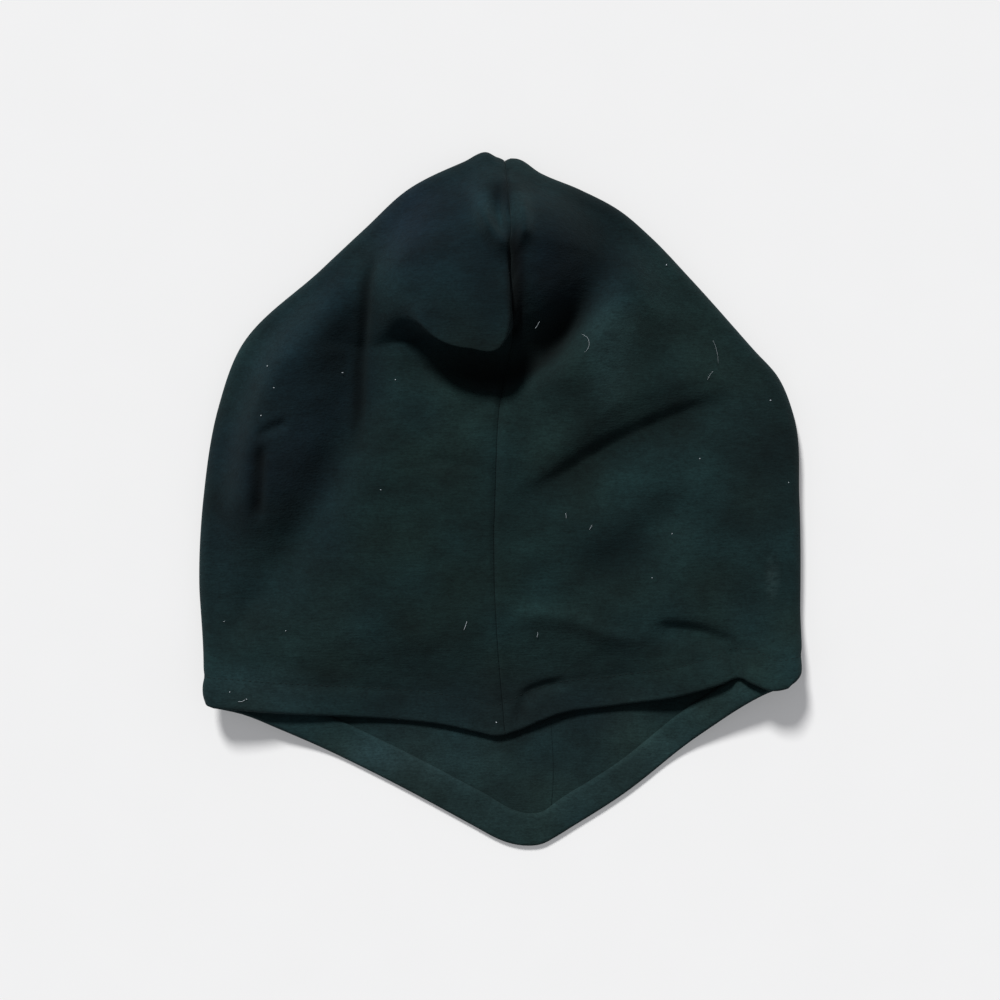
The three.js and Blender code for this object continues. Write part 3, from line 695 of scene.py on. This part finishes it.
# Points every so many millimetres along a line of vertices, with the way along and the way out there
def alongLine(hood, ids, pitch):
    line = hood["points"][ids]
    reached = np.concatenate([[0], np.cumsum(np.linalg.norm(np.diff(line, axis=0), axis=1))])
    at = np.arange(pitch / 2, reached[-1], pitch)

    def sample(values):
        return np.stack([np.interp(at, reached, values[:, k]) for k in range(3)], -1)

    depth = np.interp(at, reached, hood["drawn"][ids])
    normals = sample(hood["normals"][ids])
    normals /= np.linalg.norm(normals, axis=1, keepdims=True)
    ways = sample(np.gradient(line, axis=0))
    ways /= np.linalg.norm(ways, axis=1, keepdims=True)
    return sample(line) - normals * depth[:, None], ways, normals


# Tubes with round ends: lines is an array of (tube, point, xyz), thick the diameter; the radius at a
# share t of the length is thick / 2 * sqrt(1 - (2t - 1)^8), and up gives the turn of the section
def makeTubes(name, lines, up, thick):
    sides = 6
    count, steps = lines.shape[:2]
    ways = np.gradient(lines, axis=1)
    ways /= np.linalg.norm(ways, axis=2, keepdims=True)
    side = np.cross(ways, up[:, None])
    side /= np.linalg.norm(side, axis=2, keepdims=True)
    top = np.cross(side, ways)
    t = np.linspace(0.02, 0.98, steps)
    radius = np.asarray(thick).reshape(-1, 1) / 2 * np.sqrt(1 - (2 * t - 1) ** 8)
    turn = 2 * np.pi * np.arange(sides) / sides
    ringWay = side[:, :, None] * np.cos(turn)[:, None] + top[:, :, None] * np.sin(turn)[:, None]
    points = lines[:, :, None] + ringWay * radius[:, :, None, None]
    ids = np.arange(count * steps * sides).reshape(count, steps, sides)
    a, b = ids[:, :-1], ids[:, 1:]
    walls = np.stack([a, np.roll(a, -1, 2), np.roll(b, -1, 2), b], -1).reshape(-1, 4)
    capOrder = ((0, 3, 2, 1), (0, 5, 4, 3))
    caps = [ids[:, 0][:, order] for order in capOrder] + [ids[:, -1][:, order[::-1]] for order in capOrder]
    return makeMesh(name, points.reshape(-1, 3), np.concatenate([walls] + [c.reshape(-1, 4) for c in caps]))


# Height of the top of the hood at each place: the highest vertex of the back within a small reach
def topAt(hood, x, y, reach=2.0):
    backColumns = grid["allowance"] + grid["back"] + 1
    ids = np.concatenate([half["ids"][:, :backColumns].ravel() for half in (hood["left"], hood["right"])])
    points = hood["points"][ids]
    near = (points[:, 0] - x[:, None]) ** 2 + (points[:, 1] - y[:, None]) ** 2 < reach ** 2
    return np.where(near, points[:, 2], -1).max(1)


def toLinear(code):
    parts = [int(code[i:i + 2], 16) / 255 for i in (1, 3, 5)]
    return [c / 12.92 if c <= 0.04045 else ((c + 0.055) / 1.055) ** 2.4 for c in parts] + [1]


def addNode(tree, kind, inputs, **settings):
    node = tree.nodes.new(kind)
    for key, value in settings.items():
        setattr(node, key, value)
    for key, value in inputs.items():
        if isinstance(value, bpy.types.NodeSocket):
            tree.links.new(value, node.inputs[key])
        else:
            node.inputs[key].default_value = value
    return node


# Noise between 0 and 1 whose cells are so many millimetres along X, Y and Z
def addNoise(tree, place, sizes, detail=2.0, roughness=0.5):
    scaled = addNode(tree, "ShaderNodeVectorMath", {0: place, 1: [1000 / size for size in sizes]},
                     operation="MULTIPLY")
    noise = addNode(tree, "ShaderNodeTexNoise",
                    {"Vector": scaled.outputs[0], "Scale": 1.0, "Detail": detail, "Roughness": roughness})
    return noise.outputs["Fac"]


def addMath(tree, operation, a, b):
    return addNode(tree, "ShaderNodeMath", {0: a, 1: b}, operation=operation).outputs[0]


def mixColours(tree, share, a, b):
    mix = addNode(tree, "ShaderNodeMix", {"Factor": share, "A": a, "B": b}, data_type="RGBA")
    return mix.outputs["Result"]


# A noise stretched about its middle by a gain, and cut off at 0 and 1
def sharpen(tree, noise, gain):
    return addNode(tree, "ShaderNodeMapRange", {"Value": noise, "From Min": 0.5 - 0.5 / gain,
                                                "From Max": 0.5 + 0.5 / gain}).outputs[0]


def newMaterial(name):
    material = bpy.data.materials.new(name)
    material.use_nodes = True
    tree = material.node_tree
    place = addNode(tree, "ShaderNodeTexCoord", {}).outputs["Object"]
    return material, tree, tree.nodes["Principled BSDF"], place


# Noises of the fleece: the size of their cells in millimetres along X, Y and Z, how far each is
# stretched, and what it adds to the bump beside the nap
fleeceNoise = {
    "nap": {"size": (1.5, 1.0, 1.0), "detail": 3.0, "roughness": 0.65, "gain": 2.0},
    "streak": {"size": (9.0, 1.1, 1.4), "detail": 2.0, "roughness": 0.6, "gain": 2.0, "bump": 0.7},
    "tuft": {"size": (4.2, 2.8, 3.2), "detail": 3.0, "roughness": 0.7, "gain": 2.2, "bump": 0.9},
    "worn": {"size": (34.0, 22.0, 22.0), "detail": 3.0, "roughness": 0.6, "gain": 2.2},
}
fleeceSurface = {"Roughness": 0.95, "Specular IOR Level": 0.12, "Sheen Roughness": 0.6}
bumpDepth = 0.4     # height of the nap


# Brushed fleece knit: near-black bottle green, matt, with a short nap that catches the light at
# grazing angles, small tufts, faint streaks across the hood from the brushing, and a mottle where it
# is worn. Shade: 1 + the sum of (noise - 0.5) * its share, for nap, streaks and tufts
def fleeceMaterial(name, look):
    material, tree, shader, place = newMaterial(name)
    noises = {kind: addNoise(tree, place, noise["size"], noise["detail"], noise["roughness"])
              for kind, noise in fleeceNoise.items()}
    wide = {kind: sharpen(tree, noises[kind], noise["gain"]) for kind, noise in fleeceNoise.items()}
    colour = mixColours(tree, wide["worn"], toLinear(look["dark"]), toLinear(look["pale"]))
    nap, streak, tuft = [addMath(tree, "MULTIPLY", wide[kind], look[kind + "Shade"])
                         for kind in ("nap", "streak", "tuft")]
    shade = addMath(tree, "ADD", addMath(tree, "ADD", nap, streak), tuft)
    shade = addMath(tree, "ADD", shade, 1 - (look["napShade"] + look["streakShade"] + look["tuftShade"]) / 2)
    colour = addNode(tree, "ShaderNodeVectorMath", {0: colour, "Scale": shade}, operation="SCALE").outputs[0]
    # Times the tint on the mesh: painted light and shade, and mottle
    tint = addNode(tree, "ShaderNodeAttribute", {}, attribute_name="tint").outputs["Color"]
    colour = addNode(tree, "ShaderNodeVectorMath", {0: colour, 1: tint}, operation="MULTIPLY").outputs[0]
    if "scuff" in look:
        spot = addNode(tree, "ShaderNodeVectorMath", {0: place, 1: look["scuff"]["at"]}, operation="SUBTRACT")
        spot = addNode(tree, "ShaderNodeVectorMath", {0: spot.outputs[0], 1: look["scuff"]["scale"]},
                       operation="MULTIPLY")
        far = addNode(tree, "ShaderNodeVectorMath", {0: spot.outputs[0]}, operation="LENGTH").outputs["Value"]
        fade = addNode(tree, "ShaderNodeMapRange", {"Value": far, "From Min": 1.0, "From Max": 0.2,
                                                    "To Max": look["scuff"]["share"]}).outputs[0]
        fade = addMath(tree, "MULTIPLY", fade, sharpen(tree, noises["tuft"], look["scuff"]["gain"]))
        colour = mixColours(tree, fade, colour, toLinear(look["scuff"]["colour"]))
    tree.links.new(colour, shader.inputs["Base Color"])
    height = noises["nap"]
    for kind in ("streak", "tuft"):
        raised = addMath(tree, "MULTIPLY", noises[kind], fleeceNoise[kind]["bump"])
        height = addMath(tree, "ADD", height, raised)
    bump = addNode(tree, "ShaderNodeBump",
                   {"Strength": look["bump"], "Distance": bumpDepth * mm, "Height": height})
    tree.links.new(bump.outputs[0], shader.inputs["Normal"])
    for key, value in fleeceSurface.items():
        shader.inputs[key].default_value = value
    shader.inputs["Sheen Weight"].default_value = look["sheen"]
    shader.inputs["Sheen Tint"].default_value = toLinear("#8fb0b4")
    return material


# One plain colour, broken up by a fine noise of the given size
def plainMaterial(name, dark, pale, size, roughness):
    material, tree, shader, place = newMaterial(name)
    colour = mixColours(tree, addNoise(tree, place, (size, size, size)), toLinear(dark), toLinear(pale))
    tree.links.new(colour, shader.inputs["Base Color"])
    shader.inputs["Roughness"].default_value = roughness
    shader.inputs["Specular IOR Level"].default_value = 0.2
    return material


def finish(piece, material, node=None):
    piece.data.materials.append(material)
    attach(piece, "root")
    if node:
        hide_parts(node)


hood = joinHalves()
hood["drawn"] = drawnIn(hood)
hood["turned"] = turnedDepth(hood)
hood["tint"] = paintedShadingAndMottle(hood)
left, right = hood["left"], hood["right"]
foldedEdges = np.concatenate([line for half in (left, right)
                              for line in (half["ids"][-1], half["ring"][:, -1])])
print("surface of the hood", len(hood["points"]))

# Both panels, each cut as one piece from the back seam round the side to the front seam
napLook = {"napShade": 0.6, "streakShade": 0.24, "tuftShade": 0.4, "bump": 0.65, "sheen": 0.06}
panel = {
    "colour": dict(napLook, dark="#0c1919", pale="#142727",
                   scuff={"at": (0.149, -0.044, 0.02), "scale": (190, 62, 30), "gain": 2.5, "share": 0.32,
                          "colour": "#3c4f4f"}),
    "flat": (0.33, 0.40),
    "area": {"left": 0.094, "right": 0.082},
}
fleece = fleeceMaterial("brushedFleeceKnit", panel["colour"])
for side, half in (("left", left), ("right", right)):
    quads = np.concatenate([cells(half[key], side) for key in ("ids", "ring")])
    piece = closedSheet(side + "Panel", hood, quads, hood["drawn"], cloth["wall"], foldedEdges)
    finish(piece, fleece, side + "_panel")
    print(piece.name, len(piece.data.polygons))

# Hems: a ply turned up round the neck, and one turned in round the face opening
hems = {
    "colour": dict(napLook, dark="#101f1f", pale="#192d2e"),
    "neckFlat": (0.018, 0.7),
    "faceFlat": (0.012, 0.44),
}
turnedFleece = fleeceMaterial("turnedFleeceKnit", hems["colour"])
band = slice(hemTop * perRow, None)
quads = [cells(half["ids"][band], half["side"]) for half in (left, right)]
quads += [bridge(left["ids"][band, 0], right["ids"][band, 0])[:, ::-1],
          bridge(left["ids"][band, -1], right["ids"][band, -1])]
neckHem = closedSheet("neckHem", hood, np.concatenate(quads), turnedFrom, hood["turned"], foldedEdges)
finish(neckHem, turnedFleece, "neck_hem")
quads = [cells(half["ring"], half["side"]) for half in (left, right)]
quads += [bridge(left["ring"][0], right["ring"][0]), bridge(left["ring"][-1], right["ring"][-1])[:, ::-1]]
faceHem = closedSheet("faceHem", hood, np.concatenate(quads), turnedFrom, turnedTo, foldedEdges)
finish(faceHem, turnedFleece, "face_hem")
print("hems")

# Seam allowances: the crown seam runs up the back, over the peak and down to the face opening, the
# chin seam from there to the bib
seams = {
    "crownFlat": (0.012, 0.42),
    "chinFlat": (0.012, 0.115),
    "chinThick": 0.18,      # pressed thin, close to the inner face of the panels
    "chinGap": 0.05,
    "underHem": 5,          # fine rows that it runs on between a panel and its turned-up hem
}
allowance = grid["allowance"]
upTo = hemTop * perRow - 1
top, bottom = openingTop * perRow - 1, openingBottom * perRow + 1
quads = []
for half in (left, right):
    ids = half["ids"]
    quads += [cells(ids[allowance:upTo + 1, :allowance + 1], half["side"]),
              cells(ids[:allowance + 1], half["side"]),
              cells(ids[allowance:top + 1, -allowance - 1:], half["side"])]
quads += [bridge(left["ids"][:upTo + 1, 0], right["ids"][:upTo + 1, 0])[:, ::-1],
          bridge(left["ids"][0], right["ids"][0]),
          bridge(left["ids"][:top + 1, -1], right["ids"][:top + 1, -1])]
reverse = fleeceMaterial("fleeceReverse", dict(hems["colour"], dark="#111f20", pale="#1a2c2e"))
crownSeam = closedSheet("crownSeam", hood, np.concatenate(quads), turnedFrom, hood["turned"])
finish(crownSeam, reverse, "crown_seam")
last = upTo + 1 + seams["underHem"]
quads = [cells(half["ids"][bottom:last, -allowance - 1:], half["side"]) for half in (left, right)]
quads.append(bridge(left["ids"][bottom:last, -1], right["ids"][bottom:last, -1]))
pressed = cloth["wall"] + seams["chinGap"]
chinSeam = closedSheet("chinSeam", hood, np.concatenate(quads), pressed, pressed + seams["chinThick"])
finish(chinSeam, fleece, "chin_seam")
print("seams")

# Stitches that hold the hems down, one row round the neck and one round the face opening
stitches = {
    "pitch": 3.3,
    "length": 2.0,
    "thick": 0.26,
    "points": 7,
    "archTop": 0.45,        # middle above the cloth, and how fast the ends go down, both in thicknesses
    "archFall": 2.4,
    "hemRow": 1,
    "ringColumn": 2,
}
thread = plainMaterial("polyesterThread", "#0d1717", "#162324", 1.5, 0.8)
lines = [half["ids"][hemTop * perRow + stitches["hemRow"]] for half in (left, right)]
lines += [half["ring"][:, stitches["ringColumn"]] for half in (left, right)]
centres, ways, ups = [np.concatenate(parts) for parts in
                      zip(*[alongLine(hood, line, stitches["pitch"]) for line in lines])]
t = np.linspace(-0.5, 0.5, stitches["points"])[None, :, None]
arch = stitches["thick"] * (stitches["archTop"] - stitches["archFall"] * t ** 2)
threads = makeTubes("hemStitches", centres[:, None] + ways[:, None] * t * stitches["length"]
                    + ups[:, None] * arch, ups, stitches["thick"])
finish(threads, thread)
print("stitches", len(centres))

# Lint: a few pale hairs and specks that cling to the nap
lint = {
    "hairX": (18.5, 42.5, 115.5, 112.8, -20, -143, 20, 45, 36, 48.5),
    "hairY": (92, 89.5, 88.5, 64, -72, -110, -76, -173, -11, -17),
    "length": (4.5, 13, 13.5, 6, 5, 4, 3, 4, 3, 3),
    "turn": (55, -75, -76, 60, 70, 10, 80, 60, 95, 60),
    "bend": (0.2, -1.15, -0.25, -0.2, 0.1, 0.5, 0.2, 0.3, 0.2, 0.1),
    "thick": (0.22, 0.12, 0.07, 0.08, 0.22, 0.2, 0.2, 0.2, 0.14, 0.14),
    "speckX": (-126, -122, -129, -86, -57, -65, -151, -117, -138, -147, -2, 148, 158, 83, 94, 109, 91),
    "speckY": (72, 60, 45, 69, 65, 5, -67, -72, -109, -105, -123, 54, 9, -43, -19, 22, 128),
    "hairPoints": 9,
    "speckPoints": 5,
    "speckLength": (0.5, 0.9),
    "speckThick": (0.3, 0.55),
    "hairLift": 0.25,       # middle of a hair above the cloth, of a hair on the bib, and of a speck
    "bibLift": 0.3,
    "speckLift": 0.15,
    "seed": 11,
}
hairX, hairY, length, bend = [np.array(lint[kind], float) for kind in ("hairX", "hairY", "length", "bend")]
s = np.linspace(-0.5, 0.5, lint["hairPoints"])
heading = np.radians(lint["turn"])[:, None] + bend[:, None] * s * 2
step = length[:, None] / (len(s) - 1)
x = hairX[:, None] + np.cumsum(np.cos(heading) * step, 1)
y = hairY[:, None] + np.cumsum(np.sin(heading) * step, 1)
z = topAt(hood, x.ravel(), y.ravel()).reshape(x.shape) + lint["hairLift"]
onBib = hairY < form["napeEndY"]
z[onBib] = cloth["wall"] + lint["bibLift"]
ups = np.tile([0.0, 0.0, 1.0], (len(hairX), 1))
hairs = makeTubes("lintHairs", np.stack([x, y, z], -1), ups, lint["thick"])
pale = plainMaterial("paleLint", "#8f9aa0", "#c5cdd2", 0.5, 0.8)
finish(hairs, pale)
random = np.random.default_rng(lint["seed"])
x, y = np.array(lint["speckX"], float), np.array(lint["speckY"], float)
turn = random.uniform(0, 2 * np.pi, len(x))[:, None]
s = np.linspace(-0.5, 0.5, lint["speckPoints"])[None] * random.uniform(*lint["speckLength"], len(x))[:, None]
z = np.broadcast_to(topAt(hood, x, y)[:, None] + lint["speckLift"], s.shape)
lines = np.stack([x[:, None] + s * np.cos(turn), y[:, None] + s * np.sin(turn), z], -1)
ups = np.tile([0.0, 0.0, 1.0], (len(x), 1))
specks = makeTubes("lintSpecks", lines, ups, random.uniform(*lint["speckThick"], len(x)))
finish(specks, pale)
print("lint")

# Floor, camera and light
view = {"frameWidth": 0.55, "lens": 85, "level": 0.008, "centreY": -0.00055, "floorSize": 8}
bpy.ops.mesh.primitive_plane_add(size=view["floorSize"])
floor = bpy.context.object
floor.name = "floor"

# Ground that glows a little, as painted light: light comes up through it, so that the shadows on it stay pale
ground = plainMaterial("paleGround", "#d0d0d0", "#d2d2d2", 40.0, 0.9)
glow = ground.node_tree.nodes["Principled BSDF"].inputs
glow["Emission Color"].default_value = toLinear("#ffffff")
glow["Emission Strength"].default_value = 0.19
floor.data.materials.append(ground)
camera = addObject("camera", bpy.data.cameras.new("camera"))
camera.data.lens = view["lens"]
distance = view["frameWidth"] * view["lens"] / camera.data.sensor_width
camera.location = (0, view["centreY"], distance + view["level"])
bpy.context.scene.camera = camera

light = {
    "travel": (0.25, -0.70, -0.67),     # way that the light of the key travels
    "spread": 12.0,                     # degrees across, which softens the shadows
    "strength": 3.95,
    "colour": (1.0, 0.995, 0.985),
    "fill": (0.95, 0.97, 1.04),
    "fillStrength": 0.25,
}
lamp = bpy.data.lights.new("key", "SUN")
lamp.energy = light["strength"]
lamp.angle = math.radians(light["spread"])
lamp.color = light["colour"]
key = addObject("key", lamp)
key.location = Vector(light["travel"]) * -2
key.rotation_euler = Vector(light["travel"]).to_track_quat("-Z", "Y").to_euler()
world = bpy.data.worlds.new("studio")
world.use_nodes = True
world.node_tree.nodes["Background"].inputs["Color"].default_value = (*light["fill"], 1)
world.node_tree.nodes["Background"].inputs["Strength"].default_value = light["fillStrength"]
bpy.context.scene.world = world
bpy.context.scene.view_settings.view_transform = "Standard"
